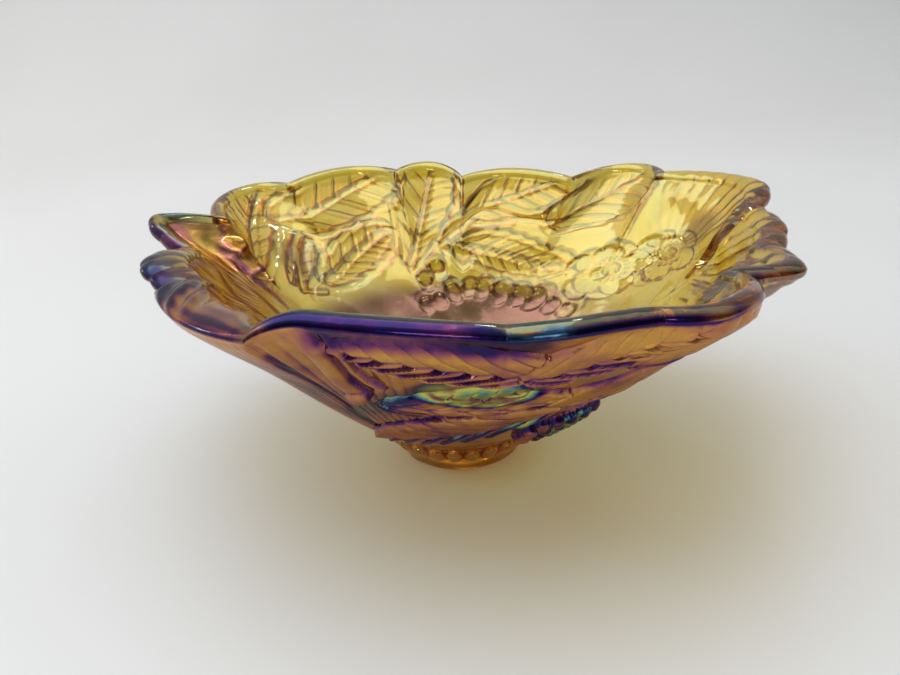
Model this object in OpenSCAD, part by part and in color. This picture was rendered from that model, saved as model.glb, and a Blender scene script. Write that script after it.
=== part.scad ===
// Pressed-glass bowl with a rim of leaves and a drooping fan of petals at each end.
// The bowl is one piece of glass. Each module below is one moulded region of it,
// and neighbouring regions meet face to face. +X points along the fans, +Z is up,
// and the origin is on the table, under the middle of the bowl.

/* [Size] */
// Width of the bowl from fan to fan
bowl_w = 181; // [150:1:220]
// Height of the crest on the long sides
bowl_h = 68; // [62:1:76]
// Thickness of the wall, measured level
wall_t = 5.6; // [4:0.2:7]
// Drop from the crest of the rim to its widest edge
lip_drop = 2.4; // [1.5:0.1:3.5]
// Distance from the widest edge in to the crest
lip_in = 2.5; // [1.8:0.1:3]

/* [Wall] */
// Height of the floor inside the bowl
floor_h = 14; // [13:0.5:16]
// Radius of the wall where it leaves the floor
base_r = 27; // [24:0.5:30]
// Height at which the leaves begin
leaf_h = 38; // [34:1:42]
// Curve of the wall, where 1 is a straight cone
wall_curve = 0.92; // [0.8:0.02:1]

/* [Foot] */
// Diameter of the ring that the bowl stands on
foot_d = 33; // [28:1:38]
// Height of the plain ring
ring_h = 4; // [3:0.5:5]
// Height of the foot with its knobs
foot_h = 10; // [8.5:0.5:11]
// How far the foot flares out by its top
foot_flare = 3; // [2:0.5:4]
// Number of upright knobs round the foot
knob_count = 26; // [18:1:30]
// Width of a knob
knob_w = 3.6; // [3:0.1:4]
// Depth of the hollow under the foot
hollow = 1.4; // [0.6:0.2:2.4]
// Diameter of the flat top of the hollow
hollow_d = 20; // [14:1:21]

/* [Hidden] */
// Size that the rim's own numbers below are drawn at
drawn_w = 181;
drawn_h = 68;
size_k = bowl_w / drawn_w;
// Degrees between the sections of a panel and of a leaf
panel_step = 4;
leaf_step = 2;
amber = [0.86, 0.60, 0.16];
violet = [0.42, 0.20, 0.50];
gold = [0.80, 0.70, 0.22];
rose = [0.72, 0.46, 0.48];

// The rim, going round from the right-hand fan. Each leaf has its name, the notch
// where it starts and its tip, both as [bearing in degrees, radius, height], and its
// colour. It ends at the next leaf's notch.
leaves = [
    ["right_petal_3", [6, 84.5, 64.5], [16, 94.2, 67.5], violet],
    ["back_leaf_5", [36, 86, 66], [44, 93, 66], gold],
    ["back_leaf_4", [56, 76, 63], [72, 75, 65.5], gold],
    ["back_leaf_3", [86, 69, 64], [96, 78, 68], gold],
    ["back_leaf_2", [104, 75, 66.5], [116, 86, 67.5], gold],
    ["back_leaf_1", [130, 86, 65], [136, 94, 65.5], gold],
    ["left_petal_1", [156, 77, 63], [162, 93, 64.8], violet],
    ["left_petal_2", [172, 77.5, 59.5], [186, 80, 62.8], violet],
    ["left_petal_3", [198, 73, 60], [206, 75, 62], violet],
    ["front_leaf_1", [240, 78.5, 65], [248, 76, 68], gold],
    ["front_leaf_2", [276, 76, 66], [286, 80, 67.5], gold],
    ["front_leaf_3", [296, 81, 67], [304, 86, 67], gold],
    ["right_petal_1", [326, 75.5, 62.5], [336, 84.5, 62], violet],
    ["right_petal_2", [346, 81.5, 61.5], [360, 85.5, 63.6], violet],
];
// Panels of the lower wall: name, first and last bearing, colour
panels = [
    ["wall_rose_right", 4, 44, rose],
    ["wall_berries_back", 44, 104, gold],
    ["wall_leaf_back", 104, 152, gold],
    ["wall_root_left", 152, 212, violet],
    ["wall_branch_front", 212, 256, amber],
    ["wall_leaf_front", 256, 296, rose],
    ["wall_berries_front", 296, 336, violet],
    ["wall_root_right", 336, 364, amber],
];
foot_nodes = ["foot_ring", "foot_knobs", "bowl_floor"];

// Swells of the wall's outline below the leaves: order, size, bearing of the swell
swells = [[1, 4.8, 27], [2, 5.5, -12], [3, 5.5, 21], [4, 2.9, 38]];
mean_r = 82;
mean_h = 63.5;
droop = 2.5;

function outline_r(a) = size_k * (mean_r + sum([for (s = swells) s[1] * cos(s[0] * (a - s[2]))]));
function outline_h(a) = bowl_h / drawn_h * (mean_h - droop * cos(2 * a));
function sum(v, i = 0) = i < len(v) ? v[i] + sum(v, i + 1) : 0;

// Outer radius of the plain wall at a bearing and a height
function wall_r(a, z) =
    base_r + (outline_r(a) - base_r) * pow(max(0, z - floor_h) / (outline_h(a) - floor_h), wall_curve);

// A leaf's rim rises from its notch to its tip and falls to the next notch
function swell_up(u) = pow(sin(90 * u), 0.75);
function next_notch(i) =
    i + 1 < len(leaves) ? leaves[i + 1][1] : [leaves[0][1][0] + 360, leaves[0][1][1], leaves[0][1][2]];
function rim_value(i, a, k) =
    let (from = leaves[i][1], tip = leaves[i][2], to = next_notch(i))
    a < tip[0]
        ? from[k] + (tip[k] - from[k]) * swell_up((a - from[0]) / (tip[0] - from[0]))
        : to[k] + (tip[k] - to[k]) * swell_up((to[0] - a) / (to[0] - tip[0]));
function rim_r(i, a) = size_k * rim_value(i, a, 1);
function rim_h(i, a) = bowl_h / drawn_h * rim_value(i, a, 2);

function polar(a, r, z) = [r * cos(a), r * sin(a), z];
function smooth(t) = t * t * (3 - 2 * t);

// Outer radius of a leaf at a fraction of its height: the lobe fades in upwards
function leaf_r(i, a, z, t) =
    wall_r(a, z) + (rim_r(i, a) - wall_r(a, rim_h(i, a) - lip_drop)) * smooth(t);

// Joins closed sections of equal length into one solid. A section goes up the
// outside and down the inside, so its end caps are strips between the two.
module loft(sections) {
    n = len(sections[0]);
    last = (len(sections) - 1) * n;
    sides = [
        for (i = [0 : len(sections) - 2], j = [0 : n - 1])
            let (a = i * n + j, b = i * n + (j + 1) % n)
            each [[a, a + n, b + n], [a, b + n, b]]
    ];
    cap = [
        for (j = [0 : ceil(n / 2) - 2])
            let (up = j + 1, down = n - 2 - j)
            each up < down ? [[j, up, down], [j, down, down + 1]] : [[j, up, down + 1]]
    ];
    far_cap = [for (t = cap) [last + t[2], last + t[1], last + t[0]]];
    polyhedron([for (s = sections) each s], concat(cap, far_cap, sides), convexity = 8);
}

// One panel of the lower wall, from the floor up to the leaves
module wall_panel(p) {
    steps = 6;
    heights = [for (k = [0 : steps]) floor_h + (leaf_h - floor_h) * k / steps];
    color(p[3]) loft([
        for (a = [p[1] : panel_step : p[2]]) concat(
            [for (k = [0 : steps]) polar(a, wall_r(a, heights[k]), heights[k])],
            [for (k = [steps : -1 : 0]) polar(a, wall_r(a, heights[k]) - wall_t, heights[k])]
        )
    ]);
}

// One leaf of the rim, with the rounded bead along its top edge
module rim_leaf(i) {
    steps = 5;
    color(leaves[i][3]) loft([
        for (a = [leaves[i][1][0] : leaf_step : next_notch(i)[0]])
            let (
                edge_h = rim_h(i, a) - lip_drop,
                z = [for (k = [0 : steps]) leaf_h + (edge_h - leaf_h) * k / steps],
                r = [for (k = [0 : steps]) leaf_r(i, a, z[k], k / steps)]
            )
            concat(
                [for (k = [0 : steps]) polar(a, r[k], z[k])],
                [polar(a, r[steps] - lip_in, edge_h + lip_drop)],
                [for (k = [steps : -1 : 0]) polar(a, r[k] - wall_t, z[k])]
            )
    ]);
}

// Plain ring that stands on the table, with a shallow hollow under it
module foot_ring() {
    edge = 0.8;
    color(amber) rotate_extrude($fn = 96) polygon([
        [0, hollow],
        [hollow_d / 2, hollow],
        [hollow_d / 2 + hollow, 0],
        [foot_d / 2 - edge, 0],
        [foot_d / 2, edge],
        [foot_d / 2 + edge, ring_h],
        [0, ring_h],
    ]);
}

// One upright knob with round ends, standing on the plane z = 0
module knob() {
    knob_r = knob_w / 2;
    tall = foot_h - ring_h;
    translate([0, 0, knob_r]) sphere(r = knob_r, $fn = 24);
    translate([0, 0, knob_r]) cylinder(r = knob_r, h = tall - knob_w, $fn = 24);
    translate([0, 0, tall - knob_r]) sphere(r = knob_r, $fn = 24);
}

// Flaring collar with a row of upright knobs half sunk in it
module foot_knobs() {
    foot_r = foot_d / 2;
    color(amber) {
        rotate_extrude($fn = 96)
            polygon([[0, ring_h], [foot_r, ring_h], [foot_r + foot_flare, foot_h], [0, foot_h]]);
        for (k = [0 : knob_count - 1])
            rotate(k * 360 / knob_count) translate([foot_r + foot_flare / 2, 0, ring_h]) knob();
    }
}

// Floor of the bowl, which spreads from the foot to the start of the wall
module bowl_floor() {
    color(rose) rotate_extrude($fn = 180) polygon([
        [0, foot_h],
        [foot_d / 2 + foot_flare, foot_h],
        [base_r, floor_h],
        [0, floor_h],
    ]);
}

foot_ring();
foot_knobs();
bowl_floor();
for (p = panels)
    wall_panel(p);
for (i = [0 : len(leaves) - 1])
    rim_leaf(i);
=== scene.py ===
import math
import bpy
import numpy as np
from mathutils import Matrix


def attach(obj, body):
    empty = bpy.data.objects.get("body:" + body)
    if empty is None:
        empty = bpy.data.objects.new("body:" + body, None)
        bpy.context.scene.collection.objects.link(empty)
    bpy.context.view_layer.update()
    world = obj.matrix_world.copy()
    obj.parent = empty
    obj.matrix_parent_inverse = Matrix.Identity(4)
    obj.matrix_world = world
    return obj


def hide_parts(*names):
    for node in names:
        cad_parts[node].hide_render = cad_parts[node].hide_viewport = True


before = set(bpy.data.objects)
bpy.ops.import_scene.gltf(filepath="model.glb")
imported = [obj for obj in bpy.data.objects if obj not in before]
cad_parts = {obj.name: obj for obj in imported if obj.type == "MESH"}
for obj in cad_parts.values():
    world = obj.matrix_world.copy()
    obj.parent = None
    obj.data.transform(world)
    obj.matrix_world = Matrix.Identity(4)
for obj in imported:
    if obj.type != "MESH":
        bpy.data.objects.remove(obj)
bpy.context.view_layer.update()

MM = 0.001

# ---------------------------------------------------------------- the bowl's numbers

FLOOR_H = 14.0
BASE_R = 27.0
LEAF_H = 38.0
WALL_T = 5.6
WALL_CURVE = 0.92
LIP_DROP = 2.4
RING_H = 4.0
FOOT_H = 10.0
KNOBS = 26
# Underside of the foot and its plain ring, as (radius, height) from near the middle out
FOOT_PROFILE = [
    (2.0, 1.6), (5.0, 1.6), (8.0, 1.5), (9.6, 1.25), (10.4, 0.7), (11.2, 0.15), (12.2, 0.0),
    (14.0, 0.0), (15.2, 0.0), (16.0, 0.2), (16.6, 0.7), (17.0, 1.5), (17.1, 2.3), (16.9, 3.1),
    (16.7, 3.8),
]
# Collar between the knobs: radius at the ring, and how far it flares by its top
COLLAR_R = 16.9
COLLAR_FLARE = 5.2
# How far the knobs stand out of the collar
KNOB_DEPTH = 2.3
# Radius of the innermost row of the floor
CENTRE_R = 1.5

# Rim leaves in turn: notch and tip, each (bearing, radius, height), and how narrow the
# leaf is at its tip, from 0.75 for a round lobe to 1.7 for a finger
LEAVES = [
    ((6, 84.5, 64.5), (16, 94, 67.5), 0.9), ((36, 86, 66), (44, 93, 66), 0.75),
    ((56, 76, 63), (72, 75, 65.5), 0.75), ((86, 69, 64), (96, 78, 68), 0.75),
    ((104, 75, 66.5), (116, 86, 67.5), 0.75), ((130, 86, 65), (136, 94, 65.5), 0.75),
    ((156, 77, 63), (162, 92.5, 64.8), 1.4), ((172, 77.5, 59.5), (186, 79, 62.8), 1.5),
    ((198, 73, 60), (205, 75, 62), 1.0), ((240, 78.5, 65), (248, 75.5, 68.5), 0.75),
    ((276, 76, 66), (286, 80, 67.5), 0.75), ((296, 81, 67), (304, 86, 67), 1.0),
    ((326, 75.5, 62.5), (336, 84.5, 62), 1.7), ((346, 81.5, 61.5), (360, 85.5, 63.6), 1.6),
]
# Bearings of the tips of the three left petals
LEFT_TIPS = (162, 186, 205)
# First and last bearing of the drooping petals at the left and right ends
LEFT_FAN = (152, 240)
RIGHT_FAN = (322, 395)
# Swells of the wall's outline: order, size, bearing
SWELLS = [(1, 4.8, 27), (2, 5.5, -12), (3, 5.5, 21), (4, 2.9, 38)]
MEAN_R = 82.0
MEAN_H = 63.5
DROOP = 2.5

# Fans of ribs: first and last bearing, the place that the ribs run out from, degrees from
# rib to rib, and their depth. The second is the faint one on the front left.
FANS = [
    (154, 204, (168, 0.50), 8.0, 1.0),
    (203, 262, (238, -0.30), 2.1, 0.25),
    (322, 395, (22, 0.52), 8.0, 0.8),
]

COLUMNS = 1200
WALL_ROWS = 210
BEAD_ROWS = 21
COLLAR_STEPS = 24
FLOOR_STEPS = 8
# Share of the wall's rows that the inside has, from the rim down to the floor
INSIDE_SHARE = 0.97
# How far the petals' tips roll inwards beyond the bead, on the left and on the right
ROLL_LEFT = 3.0
ROLL_RIGHT = 1.2
# Ridges in a full turn round the bowl that cross the lip of the third left petal, and
# the bearings where they begin and end
LIP_SLANT = 40
LIP_SPAN = (196, 224)
# How far up the wall the rim leaves begin
LEAF_SHARE = 0.48
# How much of one cell of the mesh is left open between two pieces
GAP = 0.03
# Pieces of the wall and of the rim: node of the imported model, first and last bearing
PANELS = [
    ("wall_rose_right", 4, 44),
    ("wall_berries_back", 44, 104),
    ("wall_leaf_back", 104, 152),
    ("wall_root_left", 152, 212),
    ("wall_branch_front", 212, 256),
    ("wall_leaf_front", 256, 296),
    ("wall_berries_front", 296, 336),
    ("wall_root_right", 336, 364),
]
LEAF_NODES = [
    ("right_petal_3", 6, 36),
    ("back_leaf_5", 36, 56),
    ("back_leaf_4", 56, 86),
    ("back_leaf_3", 86, 104),
    ("back_leaf_2", 104, 130),
    ("back_leaf_1", 130, 156),
    ("left_petal_1", 156, 172),
    ("left_petal_2", 172, 198),
    ("left_petal_3", 198, 240),
    ("front_leaf_1", 240, 276),
    ("front_leaf_2", 276, 296),
    ("front_leaf_3", 296, 326),
    ("right_petal_1", 326, 346),
    ("right_petal_2", 346, 366),
]


def smooth(t):
    """0 up to t = 0, 1 from t = 1, and an even curve between."""
    t = np.clip(t, 0.0, 1.0)
    return t * t * (3 - 2 * t)


def between(a, start, end, soft=8.0):
    """1 between two bearings, fading out over a few degrees."""
    at = (a - start) % 360
    return smooth(at / soft) * smooth((end - start - at) / soft)


def patch(a, v, at, size_a, size_v):
    """A soft spot on the wall, 1 in the middle and 0 away from it."""
    da = ((a - at[0] + 180) % 360 - 180) / size_a
    return np.exp(-(da ** 2) - ((v - at[1]) / size_v) ** 2)


def in_fan(a):
    """1 inside the two fans of petals and 0 on the long sides."""
    return np.maximum(between(a, *LEFT_FAN, 6), between(a, *RIGHT_FAN, 6))


def outline_r(a):
    """Radius of the plain wall's outline at a bearing."""
    return MEAN_R + sum(size * np.cos(np.radians(order * (a - at))) for order, size, at in SWELLS)


def outline_h(a):
    """Height at which the plain wall reaches its outline."""
    return MEAN_H - DROOP * np.cos(np.radians(2 * a))


def wall_r(a, z):
    """Outer radius of the plain wall at a bearing and a height."""
    rise = np.maximum(0, z - FLOOR_H) / (outline_h(a) - FLOOR_H)
    return BASE_R + (outline_r(a) - BASE_R) * rise ** WALL_CURVE


def rim_curve(a):
    """Radius, crest height and narrowness of the rim, from notch to tip to notch."""
    a = (a - LEAVES[0][0][0]) % 360 + LEAVES[0][0][0]
    radius = np.zeros_like(a)
    height = np.zeros_like(a)
    thin = np.zeros_like(a)
    for i, (notch, tip, narrow) in enumerate(LEAVES):
        after = LEAVES[(i + 1) % len(LEAVES)][0]
        end = after[0] if i + 1 < len(LEAVES) else after[0] + 360
        rising = (a >= notch[0]) & (a < tip[0])
        falling = (a >= tip[0]) & (a < end)
        up = np.sin(np.pi / 2 * (a[rising] - notch[0]) / (tip[0] - notch[0])) ** narrow
        down = np.sin(np.pi / 2 * (end - a[falling]) / (end - tip[0])) ** narrow
        radius[rising] = notch[1] + (tip[1] - notch[1]) * up
        height[rising] = notch[2] + (tip[2] - notch[2]) * up
        radius[falling] = after[1] + (tip[1] - after[1]) * down
        height[falling] = after[2] + (tip[2] - after[2]) * down
        thin[rising | falling] = narrow
    return radius, height, thin


# ---------------------------------------------------------------- moulded relief

# The wall is unrolled as a cone: its length from floor to rim, the sine of its half
# angle, and the distance from its apex to the floor
CONE_SLANT = 73.7
CONE_SIN = 0.746
APEX = BASE_R / CONE_SIN


class Relief:
    """Height of the moulding over the wall, and the shade painted into its grooves and along its
    outlines.
    """

    def __init__(self, a, v):
        self.a = a
        self.v = v
        self.h = np.zeros_like(a)
        self.crease_shade = np.zeros_like(a)

    def flat(self, around):
        """The wall unrolled about one bearing: millimetres across and up."""
        psi = np.radians((self.a - around + 180) % 360 - 180) * CONE_SIN
        rho = APEX + CONE_SLANT * self.v
        return rho * np.sin(psi), rho * np.cos(psi)

    @staticmethod
    def flat_point(place, around):
        """The same for one place."""
        psi = math.radians((place[0] - around + 180) % 360 - 180) * CONE_SIN
        rho = APEX + CONE_SLANT * place[1]
        return rho * math.sin(psi), rho * math.cos(psi)

    def axis_coords(self, base, tip, bend=0.0):
        """Distance along a line from base to tip as a fraction, and beside it in mm.

        Beside is positive towards the rim on a line that runs to lower bearings."""
        x, y = self.flat(base[0])
        bx, by = self.flat_point(base, base[0])
        tx, ty = self.flat_point(tip, base[0])
        length = math.hypot(tx - bx, ty - by)
        dx, dy = (tx - bx) / length, (ty - by) / length
        u = ((x - bx) * dx + (y - by) * dy) / length
        side = (x - bx) * dy - (y - by) * dx
        side = side - bend * 4 * u * (1 - u)
        return u, side, length

    def lay(self, mask, height, crease_shade=0.0):
        """Puts a new layer over what is there, where the mask is 1."""
        self.h = self.h * (1 - mask) + height * mask
        self.crease_shade = self.crease_shade * (1 - mask) + crease_shade * mask

    def leaf(self, base, tip, right, left, level=0.9, bend=0.0, veins=6, slant=1.0,
             full=0.0, lap=0.0):
        """A leaf with a midrib, side veins and a scalloped edge, standing on the wall.

        Its widths to the right and left of the midrib are those seen from base to tip.
        With lap, each part between two veins rises and overlaps the next one."""
        u, side, length = self.axis_coords(base, tip, bend)
        uc = np.clip(u, 0.0005, 0.9995)
        shape = 1.72 * uc ** (0.55 + full) * (1 - uc) ** (0.62 - full)
        beside = np.abs(side)
        width = np.where(side > 0, right, left)
        q = uc * veins - slant * beside * veins / length
        half = width * shape * (1 + 0.05 * np.cos(2 * np.pi * (q + 0.5)))
        edge = np.where((u > 0) & (u < 1), half - beside, -5.0)
        mask = smooth(edge / 0.9 + 0.5)
        off = (q - np.round(q)) * length / veins
        fade = smooth((width * 0.98 * shape - beside) / 2.0)
        vein = np.exp(-(off / 0.62) ** 2) * fade * smooth((0.95 - u) * 12)
        rib = np.exp(-(side / 0.75) ** 2) * smooth((0.98 - u) * 8)
        pillow = 0.40 * np.cos(np.pi * np.clip(off / (length / veins), -0.5, 0.5)) ** 2
        rise = q - np.floor(q)
        drop = lap * rise * smooth((1 - rise) / 0.16) * fade
        crown = 0.50 * np.sqrt(np.clip(1 - (beside / np.maximum(half, 0.1)) ** 2, 0, 1))
        pillow = pillow * (lap == 0)
        height = level + crown + pillow + drop - 0.80 * vein - 1.05 * rib
        # Painted shade in the veins and the midrib, and on the rising side of each lapped part
        # before its drop
        shade = 0.55 * (lap > 0) * fade * rise ** 3
        self.lay(mask, height, np.clip(0.75 * vein + 0.85 * rib + shade, 0, 1))
        step = np.exp(-((edge + 0.45) / 0.75) ** 2) * ((u > -0.02) & (u < 1.02))
        self.h = self.h - 0.45 * step
        # Painted shade along the leaf's outline, where its edge steps down
        self.crease_shade = np.maximum(self.crease_shade, (0.65 if lap else 1.0) * step)

    def stem(self, places, width, level=0.6):
        """A round branch through a few places on the wall."""
        near = np.full_like(self.a, 1e3)
        for k in range(len(places) - 1):
            u, side, length = self.axis_coords(places[k], places[k + 1])
            beyond = (u - np.clip(u, 0, 1)) * length
            near = np.minimum(near, np.hypot(side, beyond))
        mask = smooth((width - near) / 0.5 + 0.5)
        top = level + 0.9 * np.sqrt(np.clip(1 - (near / width) ** 2, 0, None)) * min(width, 1.8)
        self.h = np.where(mask > 0, np.maximum(self.h, self.h * (1 - mask) + top * mask), self.h)
        # Painted shade along the branch's edges
        edge = np.exp(-((near - width) / 0.5) ** 2)
        self.crease_shade = np.maximum(self.crease_shade * (1 - mask), 0.8 * edge)

    def berry(self, centre, radius, level=0.4):
        """One round berry, standing proud of what is round it."""
        x, y = self.flat(centre[0])
        cx, cy = self.flat_point(centre, centre[0])
        near = np.hypot(x - cx, y - cy)
        dome = level + 0.9 * np.sqrt(np.clip(radius ** 2 - near ** 2, 0, None))
        self.h = np.where((near < radius) & (dome > self.h), dome, self.h)
        # Painted shade round the berry, and almost none on its top
        self.crease_shade = np.where(near < 0.85 * radius, 0.1, self.crease_shade)
        self.crease_shade = np.maximum(self.crease_shade, 0.6 * np.exp(-((near - radius) / 0.40) ** 2))

    def cluster(self, centre, across, rows, radius, tilt=0.0, level=0.5, swell=0.0):
        """A bunch of berries in staggered rows that get shorter towards its tip."""
        x, y = self.flat(centre[0])
        cx, cy = self.flat_point(centre, centre[0])
        c, s = math.cos(math.radians(tilt)), math.sin(math.radians(tilt))
        along, over = (x - cx) * c + (y - cy) * s, (y - cy) * c - (x - cx) * s
        wide, tall = across * radius, rows * radius * 0.9
        mound = np.sqrt(np.clip(1 - (along / wide) ** 2 - (over / tall) ** 2, 0, None))
        for j in range(rows):
            count = across - abs(2 * j - rows + 1) // 3
            for i in range(count):
                px = (i - (count - 1) / 2) * radius * 1.9
                py = ((rows - 1) / 2 - j) * radius * 1.66
                near = np.hypot(along - px, over - py)
                dome = level + swell * mound + np.sqrt(np.clip(radius ** 2 - near ** 2, 0, None))
                inside = near < radius
                self.h = np.where(inside & (dome > self.h), dome, self.h)
                # Painted shade round each berry, and almost none on its top
                self.crease_shade = np.where(near < 0.8 * radius, 0.1, self.crease_shade)
                ring = np.exp(-((near - radius) / 0.35) ** 2)
                self.crease_shade = np.maximum(self.crease_shade, 0.9 * ring)

    def rose(self, centre, size, turn=0.0, level=0.8):
        """A five-petalled wild rose with a boss and a ring of stamens."""
        x, y = self.flat(centre[0])
        cx, cy = self.flat_point(centre, centre[0])
        x, y = x - cx, y - cy
        near = np.hypot(x, y)
        ang = np.arctan2(y, x) - math.radians(turn)
        lobe = np.abs(np.cos(2.5 * ang))
        edge = size * (0.66 + 0.34 * lobe ** 0.5) - near
        mask = smooth(edge / 0.6 + 0.5)
        cup = 1.1 * (near / size) ** 2
        off = near * np.abs(np.arcsin(np.clip(np.cos(2.5 * ang), -1, 1))) / 2.5
        split = np.exp(-(off / 0.45) ** 2) * smooth((near - 0.3 * size) / 2)
        ripple = 0.10 * np.cos(30 * ang) * smooth((near - 0.4 * size) / 3)
        height = level + 0.3 + cup + ripple - 0.8 * split
        boss_r = 0.24 * size
        boss = np.sqrt(np.clip(boss_r ** 2 - near ** 2, 0, None))
        seeds = 0.3 * np.cos(2.6 * x) * np.cos(2.6 * y) * (near < boss_r)
        ring = np.exp(-((near - 0.40 * size) / 0.6) ** 2)
        dots = ring * (0.5 + 0.5 * np.cos(16 * ang)) ** 2
        height = np.maximum(height, level + 0.5 + 0.9 * boss + seeds) + 0.8 * dots
        # Painted shade in the splits between the petals, round the stamens and along the outline
        crease_shade = np.clip(0.8 * split + 0.6 * ring * (1 - dots), 0, 1)
        self.lay(mask, height, crease_shade)
        self.crease_shade = np.maximum(self.crease_shade, np.exp(-((edge + 0.3) / 0.55) ** 2))

    def fan(self, start, end, heart, pitch, depth):
        """Ribs that run out from one place to the rim, with a crease below each notch."""
        x, y = self.flat(heart[0])
        hx, hy = self.flat_point(heart, heart[0])
        far = np.hypot(x - hx, y - hy)
        turn = np.degrees(np.arctan2(x - hx, y - hy))
        rib = np.abs(np.sin(np.pi * turn / pitch))
        deep = np.clip(far / 40, 0.3, 1.2) * depth
        height = 0.25 + 0.85 * deep * rib ** 0.6
        # Painted shade in the valleys between the ribs and in the creases below the notches
        crease_shade = (0.4 + 0.5 * depth) * (1 - rib) ** 2
        for notch, _, _ in LEAVES:
            if 2 < (notch[0] - start) % 360 < end - start - 2:
                nx, ny = self.flat_point((notch[0], 1.0), heart[0])
                off = far * np.sin(np.radians(turn) - math.atan2(nx - hx, ny - hy))
                crease = np.exp(-(off / 1.1) ** 2) * smooth((far - 12) / 12)
                height = height - 0.9 * crease
                crease_shade = np.maximum(crease_shade, crease)
        at = (self.a - start) % 360
        mask = smooth(at / 4.0) * smooth((end - start - at) / 4.0)
        mask = mask * smooth((far - 4) / 8) * smooth((self.v - max(heart[1], 0) + 0.04) / 0.1)
        self.lay(mask, height, crease_shade)


# Berries on the long wall behind: place and radius
BACK_BERRIES = [
    ((86, 0.56), 4.6), ((96, 0.47), 3.6), ((92, 0.58), 2.4), ((101, 0.40), 3.0),
    ((103, 0.30), 3.0), ((97, 0.31), 3.0), ((90, 0.36), 3.6), ((83, 0.39), 3.0),
    ((77, 0.38), 3.4), ((69, 0.36), 4.0), ((61, 0.35), 3.6), ((53, 0.34), 4.0),
    ((45, 0.31), 3.2), ((38, 0.30), 3.0),
]


def back_moulding(m):
    """The long wall behind, which shows its leaves through the glass."""
    m.leaf((150, 0.15), (118, 0.19), 7.0, 7.0, 0.4, 0.0, 6)
    m.leaf((124, 0.08), (84, 0.13), 7.0, 6.0, 0.5, 0.0, 7)
    m.leaf((84, 0.07), (40, 0.13), 7.0, 6.0, 0.4, 0.0, 7)
    m.leaf((138, 0.47), (108, 0.70), 9.5, 10.0, 0.6, 0.5, 6, 0.9)
    m.leaf((148, 0.50), (132, 0.72), 5.0, 6.0, 0.5, -1.0, 5)
    m.leaf((88, 0.64), (46, 0.49), 10.5, 9.5, 0.6, 1.0, 8)
    m.stem([(133, 0.72), (137, 0.66), (141, 0.56), (146, 0.46)], 1.2)
    m.stem([(146, 0.46), (138, 0.42)], 0.9)
    for place, radius in BACK_BERRIES:
        m.berry(place, radius)
    m.leaf((161, 0.68), (132, 1.04), 13.0, 11.0, 0.7, 0.0, 7, 0.9)
    m.leaf((138, 0.83), (102, 1.08), 14.0, 14.5, 1.0, -2.0, 7, 0.8)
    m.leaf((86, 0.79), (54, 1.06), 13.0, 12.5, 0.7, 0.0, 7, 0.8)
    m.stem([(94, 0.61), (90, 0.68), (85, 0.78), (80, 0.82), (75, 0.81), (67, 0.77), (58, 0.78)], 1.7)
    m.leaf((107, 0.46), (92, 1.14), 13.0, 12.0, 1.2, 0.0, 8, 0.9, 0.22)
    m.stem([(106, 0.80), (107, 0.66), (108, 0.54)], 1.1)
    m.leaf((60, 0.74), (38, 1.08), 13.0, 16.0, 1.1, -1.0, 7, 0.9, 0.05)


def front_moulding(m):
    """The long wall in front: a branch, long leaves and a bunch of berries."""
    m.leaf((250, 0.48), (283, 0.70), 9.0, 8.0, 0.4, 1.0, 6, 1.6, 0, 0.5)
    m.leaf((268, 0.44), (324, 0.68), 9.0, 11.0, 0.5, 1.0, 8, 1.5, 0, 0.6)
    m.leaf((252, 0.53), (293, 0.56), 5.0, 9.0, 0.6, 0.0, 5, 2.0)
    m.leaf((306, 0.40), (330, 0.74), 9.0, 9.0, 0.7, -1.0, 6, 1.3, 0, 0.6)
    m.leaf((295, 0.45), (232, 0.14), 14.0, 9.0, 0.9, 2.5, 8, 1.7, 0, 0.8)
    m.leaf((322, 0.20), (350, 0.40), 7.0, 7.0, 0.4, 0.0, 6)
    m.leaf((286, 0.80), (250, 0.92), 13.5, 11.0, 0.8, 1.2, 8, 1.5, 0, 0.8)
    m.leaf((279, 0.77), (306, 1.04), 13.0, 12.0, 1.0, 0.0, 7, 1.4, 0, 0.8)
    m.leaf((297, 0.75), (318, 1.02), 9.0, 9.5, 0.9, 0.0, 6, 1.3, 0, 0.7)
    m.stem([(251, 0.97), (252, 0.88), (252, 0.79), (253, 0.72), (255, 0.67)], 1.0, 0.8)
    m.stem([(246, 1.00), (248, 0.91), (248, 0.80), (248, 0.70), (249, 0.63)], 2.6, 0.8)
    m.berry((249, 0.615), 2.9, 0.9)
    m.cluster((308, 0.17), 6, 5, 1.9, 12, 0.3, 1.0)


def moulding(a, v):
    """Everything moulded on the outside of the wall, lowest layer first, with the shade painted into
    its grooves.
    """
    m = Relief(a, v)
    for start, end, heart, pitch, depth in FANS:
        m.fan(start, end, heart, pitch, depth)
    back_moulding(m)
    m.rose((23, 0.60), 9.5, 40, 0.6)
    m.rose((36, 0.49), 10.5, 10)
    front_moulding(m)
    # The polished edge and the foot of the wall are plain
    margin = 0.04 + 0.06 * between(a, 240, 300)
    band = np.maximum(smooth((1.0 - v) / margin), 0.8 * in_fan(a) * (1 - between(a, 200, 245, 4)))
    root = smooth(v / 0.05)
    return m.h * band * root, m.crease_shade * band * root


# ---------------------------------------------------------------- the glass mesh

def profile_normals(r, z):
    """Unit normals of each column's profile, pointing out of the glass."""
    dr = np.gradient(r, axis=0)
    dz = np.gradient(z, axis=0)
    size = np.maximum(np.hypot(dr, dz), 1e-9)
    return dz / size, -dr / size


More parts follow.
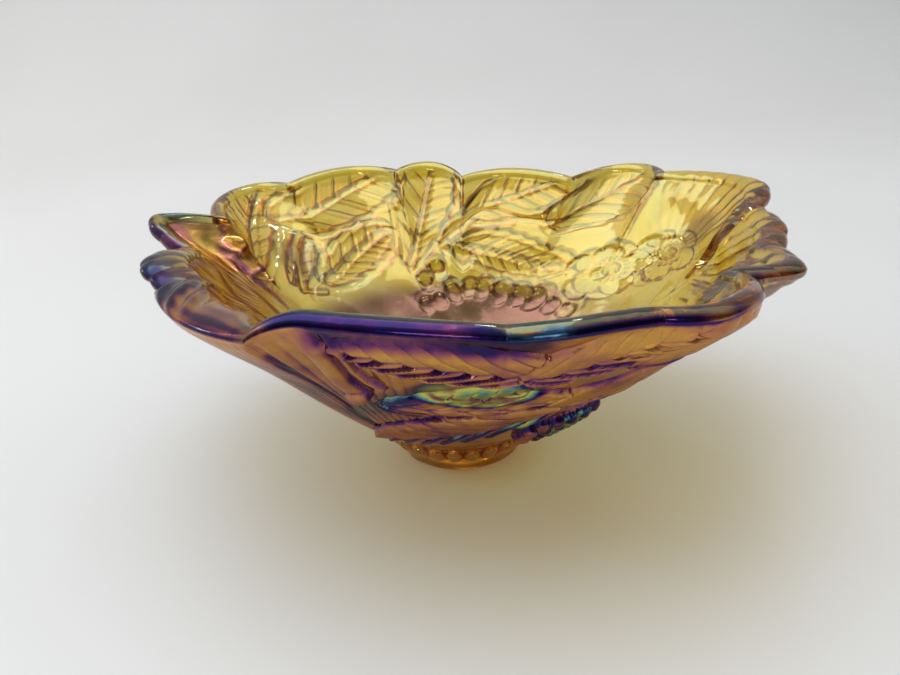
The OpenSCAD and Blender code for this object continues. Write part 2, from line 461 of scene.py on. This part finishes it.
def foot_rows(a):
    """Underside and side of the foot, from near the middle out to the floor's edge."""
    wobble = 0.25 * np.sin(np.radians(7 * a)) + 0.15 * np.sin(np.radians(12 * a + 40))
    rows = []
    for r, z in FOOT_PROFILE:
        rows.append((r + wobble * min(z, 1.0), np.full_like(a, z)))
    wave = np.abs(np.cos(np.radians(a) * KNOBS / 2)) ** 0.7
    for t in [k / COLLAR_STEPS for k in range(COLLAR_STEPS + 1)]:
        core = COLLAR_R + COLLAR_FLARE * t
        top = np.clip(1 - ((t - 0.45) / (0.20 + 0.30 * wave)) ** 2, 0, None) ** 0.5
        z = RING_H + (FOOT_H - RING_H) * t
        rows.append((core + KNOB_DEPTH * top * wave, z + 0 * a))
    top_r = COLLAR_R + COLLAR_FLARE
    for t in [k / FLOOR_STEPS for k in range(1, FLOOR_STEPS)]:
        r = top_r + (BASE_R - top_r) * t
        z = FOOT_H + (FLOOR_H - FOOT_H) * t ** 1.15
        rows.append((np.full_like(a, r), np.full_like(a, z)))
    return rows


def blurred(rows, times):
    """A softened copy of a map of the wall, which closes on itself sideways."""
    for _ in range(times):
        up = np.vstack([rows[1:], rows[-1:]])
        down = np.vstack([rows[:1], rows[:-1]])
        rows = (2 * rows + up + down + np.roll(rows, 1, 1) + np.roll(rows, -1, 1)) / 6
    return rows


def plain_wall(a):
    """Radius and height of the outside of the wall before it is moulded, row by row."""
    rim_r, crest, thin = rim_curve(a)
    edge_h = crest - LIP_DROP
    lobe = rim_r - wall_r(a, edge_h)
    r, z = [], []
    for v in np.linspace(0, 1, WALL_ROWS):
        up = FLOOR_H + (edge_h - FLOOR_H) * v
        share = smooth((up - LEAF_H) / (edge_h - LEAF_H)) ** (0.25 + thin)
        r.append(wall_r(a, up) + lobe * share)
        z.append(up)
    return np.array(r), np.array(z)


def bead_rows(a, roll, relief):
    """The rounded edge, from the outside over the crest to the inside.

    The petals' tips roll over, so their edge is broad, and it carries their ribs on."""
    rim_r, crest, _ = rim_curve(a)
    rows = []
    for t in np.linspace(0, math.pi, BEAD_ROWS + 2)[1:-1]:
        rib = relief * (1 - 0.40 * t / math.pi)
        slant = np.sin(5 * t + LIP_SLANT * np.radians(a))
        ridge = 0.45 * slant * math.sin(t) * between(a, *LIP_SPAN)
        r = rim_r - roll + (roll + ridge) * math.cos(t) + rib
        rows.append((r, crest - LIP_DROP + (LIP_DROP + ridge + 0.4 * rib) * math.sin(t)))
    return rows


def inside_rows(maps, r, z, normals, roll):
    """The inside, from the rim down to the floor. It follows the fans' ribs, sinks a
    little behind the rest of the relief, and is wavy."""
    a, v = maps["a"], maps["v"]
    rad = np.radians(a)
    follow = 0.30 + in_fan(a) * (0.12 + 0.20 * between(a, 150, 240))
    wavy = np.sin(11 * rad + 7 * v) * np.sin(23 * v - 5 * rad) + 0.6 * np.sin(19 * rad - 31 * v)
    sink = follow * blurred(maps["height"], 4) + 0.30 * wavy * smooth((1 - v) / 0.08)
    thick = WALL_T + 2 * (roll - WALL_T / 2) * smooth((v - 0.72) / 0.28)
    rows = list(zip(r - thick + normals[0] * sink, z + normals[1] * sink))
    return rows[::-1][:int(WALL_ROWS * INSIDE_SHARE)]


def floor_rows(a):
    """The floor inside the bowl, from the wall to near the middle."""
    rows = []
    for t in np.linspace(0, 1, FLOOR_STEPS + 1)[1:]:
        r = (BASE_R - WALL_T + 1.0) * (1 - t) + CENTRE_R * t
        z = FLOOR_H + 0.55 * (1 - t) ** 3
        rows.append((np.full_like(a, r), np.full_like(a, z)))
    return rows


def glass_grid():
    """Rows of the closed section at every bearing, and maps of the outside of the wall."""
    a = np.arange(COLUMNS) * 360.0 / COLUMNS
    r, z = plain_wall(a)
    nr, nz = profile_normals(r, z)
    aa = np.repeat(a[None, :], WALL_ROWS, axis=0)
    vv = np.repeat(np.linspace(0, 1, WALL_ROWS)[:, None], COLUMNS, axis=1)
    height, crease_shade = moulding(aa, vv)
    maps = {"a": aa, "v": vv, "crease_shade": crease_shade, "height": height}
    roll = WALL_T / 2 + ROLL_LEFT * between(a, 168, 240, 10) + ROLL_RIGHT * between(a, *RIGHT_FAN, 6)
    sides = {
        "foot": foot_rows(a),
        "wall": list(zip(r + nr * height, z + nz * height)),
        "bead": bead_rows(a, roll, height[-1]),
        "inside": inside_rows(maps, r, z, (nr, nz), roll),
        "floor": floor_rows(a),
    }
    return a, sides, maps


# ---------------------------------------------------------------- the film on the glass

# Thickest film, which is mauve-brown. The thinnest is 0, gold
THICKEST = 1.2
# Places where the film differs, each with its size in degrees and in height: the lens,
# the bunch of berries and the low leaf outside, and inside a painted orange reflection and a painted
# lilac sheen in two spots
LENS = ((273, 0.635), 15, 0.095)
BUNCH = ((309, 0.17), 11, 0.16)
LOW_LEAF = ((266, 0.32), 26, 0.16)
ORANGE_REFLECTION = ((114, 0.60), 6, 0.10)
LILAC_SHEEN = (((141, 0.66), 7, 0.12), ((17, 0.78), 5, 0.12))
# Spots of thicker film on the outside: place, the two sizes, and how much
SPOTS = [
    ((276, 0.59), 7, 0.022, 0.30), ((256, 0.56), 5, 0.05, 0.42), ((247, 0.46), 4, 0.05, 0.40),
    ((290, 0.34), 7, 0.05, 0.45), ((240, 0.80), 16, 0.30, 0.14), ((232, 0.60), 4, 0.12, 0.30),
    ((237, 0.36), 4, 0.06, 0.24),
]


def outside_film(a, v, crease_shade, height):
    """Thickness of the film on the outside, and how well it covers the glass."""
    rad = np.radians(a)
    drift = 0.05 * np.sin(3 * rad + 5 * v) + 0.04 * np.sin(7 * rad - 9 * v + 1.3)
    drift += 0.03 * np.sin(13 * rad + 14 * v + 0.6)
    streak = np.sin(9 * rad + 16 * v + 2 * np.sin(4 * rad)) ** 6
    front = between(a, 200, 335, 14)
    tame = 1 - 0.7 * smooth((v - 0.80) / 0.08) * between(a, 278, 340, 6)
    tame = np.minimum(tame, 1 - 0.8 * smooth((v - 0.88) / 0.05) * front)
    # Thicker film in the grooves and along the outlines is painted shade
    film = 0.14 + 0.04 * front + drift + (0.20 + 0.16 * front) * tame * crease_shade
    film = film + 0.10 * streak * (0.3 + v) * tame
    # The lens, the spots, the bunch of berries and the low leaf
    film = film + 0.69 * smooth((patch(a, v, *LENS) - 0.30) / 0.35)
    for place, size_a, size_v, more in SPOTS:
        film = film + more * patch(a, v, place, size_a, size_v)
    film = film + 0.72 * patch(a, v, *BUNCH) * smooth((height - 0.6) / 0.6)
    # The low leaf's film is its own colour, and is thicker in its grooves as painted shade
    film = film + patch(a, v, *LOW_LEAF) * (0.13 + 0.16 * crease_shade)
    # The polished edge of the front, and the tips of the left petals
    edge = smooth((v - 0.90) / 0.06) * between(a, 245, 284, 6)
    edge = np.maximum(edge, smooth((v - 0.985) / 0.015) * between(a, 270, 335, 8))
    film = film + 0.36 * edge
    # Thicker film turns the left petals' tips dark blue-purple, partly the coat's own colour and
    # partly painted shade
    for tip in LEFT_TIPS:
        film = film + 0.60 * patch(a, v, (tip, 1.02), 9, 0.17)
    film = np.where(v > 0.88, np.minimum(film, 0.60), film)
    back = between(a, 36, 180, 20)
    # Fuller cover in the grooves is painted shade too
    veil = 0.06 + 0.16 * back + (0.25 + 0.50 * back) * crease_shade
    veil = veil + 0.85 * between(a, 190, 330, 12) + 0.2 * edge
    return film, veil


def bead_film(a, turn):
    """The same for the bead, whose turn is 0 on its outer edge and 1 on its inner one."""
    rad = np.radians(a)
    front = between(a, 237, 304, 8)
    left = between(a, 156, 241, 4)
    right = between(a, 296, 332, 6)
    lip = between(a, 203, 241, 6)
    slant = np.sin(5 * math.pi * turn + LIP_SLANT * rad) * between(a, *LIP_SPAN)
    stripe = np.sin(9 * math.pi * turn + 0.6 * np.sin(9 * rad))
    film = 0.13 + 0.04 * np.sin(8 * rad) + 0.48 * front + 0.42 * left
    film = film + (0.22 + 0.14 * np.sin(51 * rad)) * right
    film = film + 0.04 * np.sin(21 * rad) + 0.05 * np.sin(14 * rad + 2)
    film = film + lip * (0.14 * slant + 0.12 * stripe - 0.06 - 0.28 * smooth((turn - 0.25) / 0.4))
    # Thicker film turns the left petals' tips dark blue-purple, partly the coat's own colour and
    # partly painted shade
    for tip in LEFT_TIPS:
        film = film + 0.26 * patch(a, 0 * a, (tip, 0), 6, 1)
    film = np.minimum(film, 0.70)
    glassy = 0.24 * patch(a, 0 * a, (278, 0), 3, 1) + 0.16 * between(a, 280, 335, 5)
    low = 1 - smooth((turn - 0.34 + glassy) / 0.14)
    veil = 0.06 + 0.95 * front * low + 0.75 * left * (0.35 + 0.65 * low) + 0.6 * right * low
    veil = np.maximum(veil + 0.12 * low * (1 - front), 0.8 * lip)
    return film, veil


def inside_film(a, v, crease_shade):
    """The same for the inside, where only the left fan and the floor are well covered."""
    rad = np.radians(a)
    fans = in_fan(a)
    left = fans * between(a, 148, 238)
    streak = smooth((np.sin(50 * rad + 5 * v) * np.sin(7 * v + 9 * rad) - 0.1) / 0.6)
    # Thicker film in the fans' rib grooves is painted shade; the streaks are the film's own colour
    film = 0.06 + 0.03 * np.sin(5 * rad + 9 * v) + 0.32 * streak * fans + 0.30 * crease_shade * fans
    film = film + 0.06 * left
    # Thicker film turns the left petals' tips dark blue-purple, partly the coat's own colour and
    # partly painted shade
    for tip in LEFT_TIPS:
        film = film + 0.26 * patch(a, v, (tip, 1.0), 5, 0.06)
    film = np.where(left > 0.3, np.minimum(film, 0.36), film)
    # Mauve near the floor, and a painted lilac sheen in two spots, which fade by their cover, not by
    # their colour
    mauve = smooth((0.47 - v) / 0.14) * (1 - 0.6 * fans)
    lilac = np.maximum(patch(a, v, *LILAC_SHEEN[0]), patch(a, v, *LILAC_SHEEN[1]))
    # A painted orange reflection on the inner back wall, as thicker film and fuller cover
    orange = patch(a, v, *ORANGE_REFLECTION)
    film = np.where((mauve > 0.05) | (lilac > 0.2), THICKEST, film + 0.14 * orange)
    # Painted shade along the moulding's lines outside the fans, as thicker film and fuller cover
    line_shade = (1 - fans) * crease_shade
    film = film + 0.24 * line_shade
    veil = 0.05 + 0.03 * fans + 0.52 * left + 0.25 * left * streak + 0.40 * line_shade
    veil = veil + 0.25 * left * smooth((v - 0.45) / 0.2)
    veil = np.where(film > 1.0, np.maximum(0.92 * mauve, 0.55 * smooth((lilac - 0.2) / 0.6)), veil)
    return film, veil + 0.25 * orange


def coating(a, sides, maps):
    """Film thickness and cover of every row of the mesh, in the order of the rows."""
    film, veil = [], []
    # Thicker, fuller film in the gaps between the knobs is painted shade
    knob_gap_shade = 1 - np.abs(np.cos(np.radians(a) * KNOBS / 2))
    for _, z in sides["foot"]:
        knob = smooth((z - RING_H) / 1.0) * smooth((FOOT_H + 0.8 - z) / 1.5)
        film.append(0.14 + 0.20 * knob_gap_shade * knob)
        veil.append(0.34 + 0.66 * knob_gap_shade * knob)
    f, k = outside_film(maps["a"], maps["v"], maps["crease_shade"], maps["height"])
    film += list(f)
    veil += list(k)
    for turn in np.linspace(0, 1, BEAD_ROWS + 2)[1:-1]:
        f, k = bead_film(a, turn)
        film.append(f)
        veil.append(k)
    f, k = inside_film(maps["a"], maps["v"], maps["crease_shade"])
    film += list(f[::-1][:len(sides["inside"])])
    veil += list(k[::-1][:len(sides["inside"])])
    for _ in sides["floor"]:
        film.append(np.full_like(a, THICKEST))
        veil.append(np.full_like(a, 0.5))
    return np.clip(np.array(film), 0, THICKEST), np.clip(np.array(veil), 0, 1)


# ---------------------------------------------------------------- the closed pieces

class Grid:
    """Every point of the bowl's surface, row by row, with its normal and its film."""

    def __init__(self):
        a, sides, maps = glass_grid()
        order = ["foot", "wall", "bead", "inside", "floor"]
        r = np.array([row[0] for name in order for row in sides[name]])
        z = np.array([row[1] for name in order for row in sides[name]])
        rad = np.radians(a)[None, :]
        self.points = np.stack([r * np.cos(rad), r * np.sin(rad), z], axis=-1) * MM
        across = np.roll(self.points, -1, 1) - np.roll(self.points, 1, 1)
        upward = np.gradient(self.points, axis=0)
        normals = np.cross(across, upward)
        self.normals = normals / np.linalg.norm(normals, axis=-1, keepdims=True)
        self.film, self.veil = coating(a, sides, maps)
        self.first = {}
        row = 0
        for name in order:
            self.first[name] = row
            row += len(sides[name])
        self.last = row - 1
        heights = [float(np.max(row[1])) for row in sides["foot"]]
        self.ring_top = int(np.argmin(np.abs(np.array(heights) - RING_H)))
        self.foot_top = int(np.argmin(np.abs(np.array(heights) - FOOT_H)))
        # The rows outside and inside where the wall ends and the leaves begin
        cut = round(LEAF_SHARE * (WALL_ROWS - 1))
        self.outer_cut = self.first["wall"] + cut
        self.inner_cut = self.first["inside"] + WALL_ROWS - 1 - cut


def columns_between(start, end):
    """Columns from one bearing to another, both included."""
    first = round(start * COLUMNS / 360)
    last = round((start + (end - start) % 360) * COLUMNS / 360)
    return [k % COLUMNS for k in range(first, last + 1)]


def drawn_back(points, joins, poles):
    """The points, with those on a cut moved off the neighbour by a share of one cell."""
    n = len(points)
    for at in joins:
        points[at] += (points[at - 1] - points[at]) * GAP
        after = (at + 1) % n
        points[after] += (points[(after + 1) % n] - points[after]) * GAP
    if not poles:
        points[:, 0] += (points[:, 1] - points[:, 0]) * GAP
        points[:, -1] += (points[:, -2] - points[:, -1]) * GAP
        return points
    for end, inner, is_cut in ((0, 1, poles[0]), (n - 1, n - 2, poles[1])):
        if is_cut:
            points[end] += (points[inner] - points[end]) * GAP
    return points


class Shell:
    """One closed piece of the grid. Its mesh's attribute "cut" is 1 on the faces where it
    meets its neighbours, and 0 on its own surface.

    A join is a place in rows after which the surface crosses the glass. A shell with
    poles goes all round, and closes at the axis at each end, where the poles say whether
    it is cut; the others are wedges."""

    def __init__(self, grid, rows, cols, joins, poles=()):
        part = np.ix_(rows, cols)
        points = drawn_back(grid.points[part].copy(), joins, poles)
        self.number = np.arange(len(rows) * len(cols)).reshape(len(rows), len(cols))
        self.points = points.reshape(-1, 3)
        self.normals = grid.normals[part].reshape(-1, 3)
        self.film = grid.film[part].ravel()
        self.veil = grid.veil[part].ravel()
        self.loops, self.sizes, self.kinds = [], [], []
        self.add_strips(joins, bool(poles))
        if poles:
            self.add_pole(0, poles[0])
            self.add_pole(-1, poles[1])
        else:
            self.add_ends()

    def add_faces(self, corners, size, kinds):
        """Faces with the same number of corners, and whether each is a cut."""
        self.loops.append(np.ravel(corners))
        self.sizes.append(np.full(np.size(kinds), size))
        self.kinds.append(np.ravel(kinds))

    def add_strips(self, joins, all_round):
        """The faces between each row and the next."""
        if all_round:
            wide = np.hstack([self.number, self.number[:, :1]])
        else:
            wide = np.vstack([self.number, self.number[:1]])
        quads = np.stack([wide[:-1, :-1], wide[:-1, 1:], wide[1:, 1:], wide[1:, :-1]], axis=-1)
        cut = np.zeros(quads.shape[:2], dtype=np.int32)
        for at in joins:
            cut[at] = 1
        self.add_faces(quads, 4, cut)

    def add_pole(self, end, is_cut):
        """The faces from the first or the last row to a point on the axis."""
        ring = self.number[end]
        after = np.roll(ring, -1)
        pole = np.full(len(ring), len(self.points))
        first, second = (after, ring) if end == 0 else (ring, after)
        self.add_faces(np.stack([first, second, pole], axis=-1), 3, np.full(len(ring), is_cut))
        self.points = np.vstack([self.points, [[0, 0, self.points[ring[0], 2]]]])
        self.normals = np.vstack([self.normals, [[0, 0, -1.0 if end == 0 else 1.0]]])
        self.film = np.append(self.film, self.film[ring[0]])
        self.veil = np.append(self.veil, self.veil[ring[0]])

    def add_ends(self):
        """The faces that close a wedge at its first and last bearing."""
        for side in (self.number[:, 0], self.number[::-1, -1]):
            self.add_faces(side, len(side), [1])

    def build(self, name):
        """The shell as an object, with its own normals, film and cuts."""
        loops, sizes = np.concatenate(self.loops), np.concatenate(self.sizes)
        starts = np.concatenate([[0], np.cumsum(sizes)[:-1]])
        mesh = bpy.data.meshes.new(name)
        mesh.vertices.add(len(self.points))
        mesh.vertices.foreach_set("co", self.points.ravel())
        mesh.loops.add(len(loops))
        mesh.loops.foreach_set("vertex_index", loops.astype(np.int32))
        mesh.polygons.add(len(sizes))
        mesh.polygons.foreach_set("loop_start", starts.astype(np.int32))
        mesh.update(calc_edges=True)
        mesh.shade_smooth()
        mesh.normals_split_custom_set_from_vertices(self.normals)
        cuts = np.concatenate(self.kinds)
        for key, kind, values in (
            ("film", "POINT", self.film), ("veil", "POINT", self.veil), ("cut", "FACE", cuts),
        ):
            data = mesh.attributes.new(key, "FLOAT", kind).data
            data.foreach_set("value", values.astype(np.float32))
        return add_object(name, mesh)


def add_object(name, data):
    """A new object in the scene."""
    obj = bpy.data.objects.new(name, data)
    bpy.context.scene.collection.objects.link(obj)
    return obj


def build_glass():
    """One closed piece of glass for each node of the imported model."""
    g = Grid()
    every = range(COLUMNS)
    wall, inside_end = g.first["wall"], g.first["floor"] - 1
    ring = list(range(g.ring_top + 1))
    knobs = list(range(g.ring_top, g.foot_top + 1))
    under = list(range(g.foot_top, wall + 1))
    over = list(range(inside_end, g.last + 1))
    outer = list(range(wall, g.outer_cut + 1))
    inner = list(range(g.inner_cut, inside_end + 1))
    leaf = list(range(g.outer_cut, g.inner_cut + 1))
    shells = {
        "foot_ring": Shell(g, ring, every, (), (0, 1)),
        "foot_knobs": Shell(g, knobs, every, (), (1, 1)),
        "bowl_floor": Shell(g, under + over, every, (len(under) - 1,), (1, 0)),
    }
    wall_joins = (len(outer) - 1, len(outer) + len(inner) - 1)
    for node, start, end in PANELS:
        shells[node] = Shell(g, outer + inner, columns_between(start, end), wall_joins)
    for node, start, end in LEAF_NODES:
        shells[node] = Shell(g, leaf, columns_between(start, end), (len(leaf) - 1,))
    return {node: shell.build(node + "_glass") for node, shell in shells.items()}


# ---------------------------------------------------------------- materials

class Nodes:
    """Short helpers for building a material's node tree."""

    def __init__(self, name):
        self.mat = bpy.data.materials.new(name)
        self.mat.use_nodes = True
        self.tree = self.mat.node_tree
        self.tree.nodes.clear()
        self.place = self.add("ShaderNodeTexCoord").outputs["Object"]

    def add(self, kind, **settings):
        """A new node with some of its settings changed."""
        node = self.tree.nodes.new(kind)
        for key, value in settings.items():
            setattr(node, key, value)
        return node

    def link(self, out, into):
        """Joins an output to an input."""
        self.tree.links.new(out, into)

    def shader(self, kind, values):
        """A new shader with constants on its own sockets."""
        node = self.add(kind)
        for key, value in values.items():
            node.inputs[key].default_value = value
        return node

    def ramp(self, stops, value, interpolation="LINEAR"):
        """A colour that follows a value through a few stops."""
        node = self.add("ShaderNodeValToRGB")
        node.color_ramp.interpolation = interpolation
        elements = node.color_ramp.elements
        while len(elements) > 1:
            elements.remove(elements[-1])
        elements[0].position = stops[0][0]
        elements[0].color = (*stops[0][1], 1)
        for at, colour in stops[1:]:
            elements.new(at).color = (*colour, 1)
        self.link(value, node.inputs["Fac"])
        return node.outputs["Color"]

    def maths(self, op, *values):
        """A sum or the like, of numbers and of other nodes' values."""
        node = self.add("ShaderNodeMath", operation=op)
        for socket, value in zip(node.inputs, values):
            if isinstance(value, (int, float)):
                socket.default_value = value
            else:
                self.link(value, socket)
        return node.outputs[0]

    def noise(self, scale, detail=2.0):
        """Noise that is fixed to the object, from 0 to 1."""
        node = self.add("ShaderNodeTexNoise")
        node.inputs["Scale"].default_value = scale
        node.inputs["Detail"].default_value = detail
        self.link(self.place, node.inputs["Vector"])
        return node.outputs["Fac"]

    def bump(self, height, strength, distance):
        """A normal for a surface with small unevenness."""
        node = self.add("ShaderNodeBump")
        node.inputs["Strength"].default_value = strength
        node.inputs["Distance"].default_value = distance
        self.link(height, node.inputs["Height"])
        return node.outputs["Normal"]

    def mix(self, share, first, second):
        """Two shaders mixed, with all of the second where the share is 1."""
        node = self.add("ShaderNodeMixShader")
        self.link(share, node.inputs["Fac"])
        self.link(first, node.inputs[1])
        self.link(second, node.inputs[2])
        return node.outputs["Shader"]

    def finish(self, surface, volume=None):
        """Connects the output and gives the material."""
        out = self.add("ShaderNodeOutputMaterial")
        self.link(surface, out.inputs["Surface"])
        if volume:
            self.link(volume, out.inputs["Volume"])
        return self.mat


# Colours of the film by its thickness: gold, orange, russet, magenta, violet, blue, teal,
# green, yellow and mauve-brown. Positions are shares of the thickest film
FILM = [
    (0.00, (0.76, 0.50, 0.12)), (0.14, (0.64, 0.31, 0.05)), (0.26, (0.44, 0.15, 0.08)),
    (0.36, (0.20, 0.04, 0.12)), (0.42, (0.06, 0.008, 0.09)), (0.48, (0.020, 0.005, 0.08)),
    (0.56, (0.008, 0.012, 0.07)), (0.65, (0.06, 0.16, 0.25)), (0.74, (0.18, 0.32, 0.14)),
    (0.85, (0.50, 0.48, 0.09)), (1.00, (0.20, 0.08, 0.07)),
]
# How much of the glass the film hides, by its thickness
HIDING = [(0.0, 0.50), (0.12, 0.85), (0.35, 0.95), (0.5, 1.0), (1.0, 0.95)]
# The film, and the glass that it is on
METAL = {
    "Metallic": 1.0,
    "Roughness": 0.26,
    "Specular Tint": (0.85, 0.68, 0.60, 1),
    "Coat Weight": 0.25,
    "Coat Roughness": 0.06,
}
AMBER = {
    "Base Color": (0.86, 0.78, 0.45, 1),
    "Transmission Weight": 1.0,
    "IOR": 1.52,
    "Roughness": 0.04,
    "Thin Film Thickness": 242.0,
    "Thin Film IOR": 1.8,
}
# What light on its way to the table keeps at each face, and what the glass absorbs
SHADOW = {"Color": (0.90, 0.86, 0.80, 1)}
DEPTH = {"Color": (0.955, 0.86, 0.02, 1), "Density": 400.0}
# Noise in the film's thickness: scale, detail, and its swing either way
CLOUDS = (38.0, 4.0, 0.15)
GRAIN = (420.0, 2.0, 0.08)
# Unevenness of the film and of the glass: scale, detail, strength and distance of the bump
PEEL = (900.0, 2.0, 0.25, 0.0003)
SWAY = (150.0, 2.0, 0.30, 0.0008)


def film_thickness(n):
    """Thickness from the mesh, broken up by clouds and grain, as a share of the thickest."""
    thick = n.add("ShaderNodeAttribute", attribute_name="film").outputs["Fac"]
    for scale, detail, swing in (CLOUDS, GRAIN):
        shift = n.maths("MULTIPLY_ADD", n.noise(scale, detail), 2 * swing, -swing)
        thick = n.maths("ADD", thick, shift)
    return n.maths("DIVIDE", thick, THICKEST)


def carnival_glass(name):
    """Amber glass under a sprayed metallic film, as thick and as whole as the mesh says."""
    n = Nodes(name)
    thick = film_thickness(n)
    metal = n.shader("ShaderNodeBsdfPrincipled", METAL)
    n.link(n.ramp(FILM, thick), metal.inputs["Base Color"])
    n.link(n.bump(n.noise(*PEEL[:2]), *PEEL[2:]), metal.inputs["Normal"])
    glass = n.shader("ShaderNodeBsdfPrincipled", AMBER)
    n.link(n.bump(n.noise(*SWAY[:2]), *SWAY[2:]), glass.inputs["Normal"])
    hide = n.ramp([(at, (v, v, v)) for at, v in HIDING], thick)
    veil = n.add("ShaderNodeAttribute", attribute_name="veil").outputs["Fac"]
    skin = n.mix(n.maths("MULTIPLY", hide, veil), glass.outputs["BSDF"], metal.outputs["BSDF"])
    # Light on its way to the table goes straight through
    shadow = n.shader("ShaderNodeBsdfTransparent", SHADOW)
    path = n.add("ShaderNodeLightPath")
    skin = n.mix(path.outputs["Is Shadow Ray"], skin, shadow.outputs["BSDF"])
    # Where one piece of glass goes on into the next, nothing is seen
    cut = n.add("ShaderNodeAttribute", attribute_name="cut").outputs["Fac"]
    skin = n.mix(cut, skin, n.add("ShaderNodeBsdfTransparent").outputs["BSDF"])
    depth = n.shader("ShaderNodeVolumeAbsorption", DEPTH)
    return n.finish(skin, depth.outputs["Volume"])


def stage_material():
    """Pale matt table, a little uneven in tone."""
    n = Nodes("pale_table")
    tones = [(0.3, (0.76, 0.755, 0.74)), (0.7, (0.80, 0.795, 0.78))]
    bsdf = n.shader("ShaderNodeBsdfPrincipled", {"Roughness": 0.55})
    n.link(n.ramp(tones, n.noise(3.0), "EASE"), bsdf.inputs["Base Color"])
    return n.finish(bsdf.outputs["BSDF"])


# ---------------------------------------------------------------- stage, light, camera

# The table and its backdrop, in metres: front edge, start of the bend, radius of the
# bend, height of the top, half the width, and steps in the bend
STAGE_FRONT = -1.2
STAGE_BACK = 0.55
STAGE_BEND = 0.35
STAGE_TOP = 1.6
STAGE_WIDE = 2.4
STAGE_STEPS = 16
# The world brightens towards this direction, between these values and strengths
BRIGHT_SIDE = (-0.15, 0.62, 0.77)
BRIGHTNESS = {"From Min": -0.05, "From Max": 0.9, "To Min": 0.07, "To Max": 1.25}
WORLD_COLOUR = (0.88, 0.93, 1.0, 1)
# Strength of the even wall that the camera itself sees past the table on every side
WALL_STRENGTH = 0.72
# Lamps: name, place, the point it faces, width and depth, power and colour
LAMPS = [
    ("ceiling", (-0.60, 0.20, 1.60), (0, 0.05, 0), (1.9, 1.9), 19.0, (1.0, 0.98, 0.95)),
    ("window_front", (-0.12, -0.95, 0.42), (0, 0, 0.05), (0.45, 0.03), 1.3, (0.85, 0.93, 1.0)),
    ("lamp_back", (0.25, 0.75, 0.95), (0, 0, 0.05), (0.10, 0.10), 0.5, (1.0, 0.96, 0.88)),
    ("lamp_left", (-0.88, 0.38, 0.32), (0, 0, 0.05), (0.08, 0.08), 0.3, (1.0, 0.98, 0.95)),
]
# The camera, in metres, degrees and millimetres
CAMERA_PLACE = (-0.002, -0.196, 0.117)
CAMERA_PITCH = 23.2
CAMERA_ROLL = 2.8
CAMERA_LENS = 30.8
CAMERA_SENSOR = 36.0


def build_stage():
    """A table top that sweeps up into a pale backdrop behind the bowl."""
    line = [(STAGE_FRONT, 0.0), (STAGE_BACK, 0.0)]
    for k in range(1, STAGE_STEPS + 1):
        t = math.pi / 2 * k / STAGE_STEPS
        line.append((STAGE_BACK + STAGE_BEND * math.sin(t), STAGE_BEND * (1 - math.cos(t))))
    line.append((STAGE_BACK + STAGE_BEND, STAGE_TOP))
    verts = [(x, y, z) for y, z in line for x in (-STAGE_WIDE, STAGE_WIDE)]
    faces = [(2 * i, 2 * i + 1, 2 * i + 3, 2 * i + 2) for i in range(len(line) - 1)]
    mesh = bpy.data.meshes.new("table_sweep")
    mesh.from_pydata(verts, [], faces)
    mesh.shade_smooth()
    mesh.materials.append(stage_material())
    add_object("table_sweep", mesh)


def area_light(name, place, target, size, power, colour):
    """A rectangular lamp that faces a point."""
    data = bpy.data.lights.new(name, "AREA")
    data.shape = "RECTANGLE"
    data.size, data.size_y = size
    data.energy = power
    data.color = colour
    z = np.array(place) - np.array(target)
    z = z / np.linalg.norm(z)
    x = np.cross((0, 0, 1), z)
    x = x / np.linalg.norm(x)
    y = np.cross(z, x)
    aim = Matrix.Identity(4)
    for row in range(3):
        aim[row][:] = (x[row], y[row], z[row], place[row])
    add_object(name, data).matrix_world = aim


def build_light():
    """A pale room that is bright above and behind the bowl and dim before it."""
    world = bpy.data.worlds.new("studio")
    world.use_nodes = True
    nodes, links = world.node_tree.nodes, world.node_tree.links
    where = nodes.new("ShaderNodeTexCoord")
    lean = nodes.new("ShaderNodeVectorMath")
    lean.operation = "DOT_PRODUCT"
    lean.inputs[1].default_value = BRIGHT_SIDE
    links.new(where.outputs["Generated"], lean.inputs[0])
    ramp = nodes.new("ShaderNodeMapRange")
    for key, value in BRIGHTNESS.items():
        ramp.inputs[key].default_value = value
    links.new(lean.outputs["Value"], ramp.inputs["Value"])
    path = nodes.new("ShaderNodeLightPath")
    seen = nodes.new("ShaderNodeMix")
    seen.inputs["B"].default_value = WALL_STRENGTH
    links.new(path.outputs["Is Camera Ray"], seen.inputs["Factor"])
    links.new(ramp.outputs["Result"], seen.inputs["A"])
    back = nodes["Background"]
    back.inputs["Color"].default_value = WORLD_COLOUR
    links.new(seen.outputs["Result"], back.inputs["Strength"])
    bpy.context.scene.world = world
    for lamp in LAMPS:
        area_light(*lamp)


def build_camera():
    """Standing where the photographer stood: close, looking down and a little rolled."""
    data = bpy.data.cameras.new("camera")
    data.sensor_width = CAMERA_SENSOR
    data.lens = CAMERA_LENS
    data.clip_start = 0.01
    obj = add_object("camera", data)
    pitch, roll = math.radians(CAMERA_PITCH), math.radians(CAMERA_ROLL)
    turn = Matrix.Rotation(math.pi / 2 - pitch, 4, "X") @ Matrix.Rotation(-roll, 4, "Z")
    obj.matrix_world = Matrix.Translation(CAMERA_PLACE) @ turn
    bpy.context.scene.camera = obj


# ---------------------------------------------------------------- put together

build_camera()
build_light()
build_stage()
glasses = {slot: carnival_glass(slot) for slot in ("carnival_glass", "foot_glass")}
for node, piece in build_glass().items():
    slot = "foot_glass" if node.startswith("foot_") else "carnival_glass"
    piece.data.materials.append(glasses[slot])
    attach(piece, "root")
    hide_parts(node)
scene = bpy.context.scene
scene.view_settings.view_transform = "Standard"
scene.cycles.use_denoising = True
scene.cycles.max_bounces = 16
scene.cycles.transmission_bounces = 14
scene.cycles.transparent_max_bounces = 48
scene.cycles.caustics_refractive = False
scene.cycles.caustics_reflective = False
